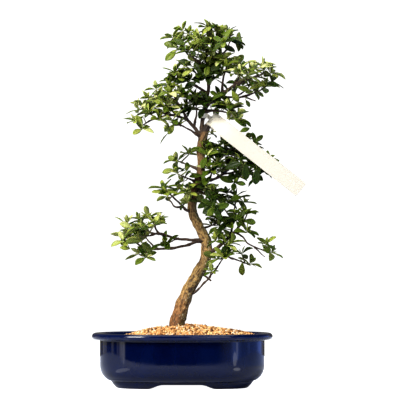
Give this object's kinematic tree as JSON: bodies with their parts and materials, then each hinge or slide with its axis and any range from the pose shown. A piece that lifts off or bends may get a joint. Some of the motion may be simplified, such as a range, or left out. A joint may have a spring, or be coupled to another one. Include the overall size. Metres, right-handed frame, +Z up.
{
  "type": "satsuki azalea bonsai",
  "caption": "Small S-curved satsuki azalea bonsai with leafy pads and a blank strip label, standing in granular soil in a blue glazed oval pot with four feet.",
  "frame": {"origin": "centre of the bottom of the bounding box, on the plane of the pot's feet", "axes": "+X to the right seen from the front, +Y to the back, +Z up along the tree"},
  "size_m": [0.2648, 0.1716, 0.4586],
  "materials": {
    "glaze": "gloss",
    "grains": "matte",
    "bark": "matte",
    "foliage": "satin",
    "strip": "satin"
  },
  "bodies": {
    "root": {"pot": "glaze", "soil": "grains", "trunk": "bark", "label": "strip", "spray_01": "foliage", "spray_02": "foliage", "spray_03": "foliage", "spray_04": "foliage", "spray_05": "foliage", "spray_06": "foliage", "spray_07": "foliage", "spray_08": "foliage", "spray_09": "foliage", "spray_10": "foliage", "spray_11": "foliage", "spray_12": "foliage", "spray_13": "foliage", "spray_14": "foliage", "spray_15": "foliage", "spray_16": "foliage", "spray_17": "foliage", "spray_18": "foliage", "spray_19": "foliage", "spray_20": "foliage", "spray_21": "foliage", "spray_22": "foliage", "spray_23": "foliage", "spray_24": "foliage", "spray_25": "foliage", "spray_26": "foliage", "spray_27": "foliage", "spray_28": "foliage", "spray_29": "foliage", "spray_30": "foliage", "spray_31": "foliage", "spray_32": "foliage", "spray_33": "foliage", "spray_34": "foliage", "spray_35": "foliage", "spray_36": "foliage", "spray_37": "foliage", "spray_38": "foliage", "spray_39": "foliage", "spray_40": "foliage", "spray_41": "foliage", "spray_42": "foliage", "spray_43": "foliage", "spray_44": "foliage", "spray_45": "foliage", "spray_46": "foliage", "spray_47": "foliage", "spray_48": "foliage", "spray_49": "foliage", "spray_50": "foliage", "spray_51": "foliage", "spray_52": "foliage", "spray_53": "foliage", "spray_54": "foliage", "spray_55": "foliage", "spray_56": "foliage"}
  },
  "joints": []
}
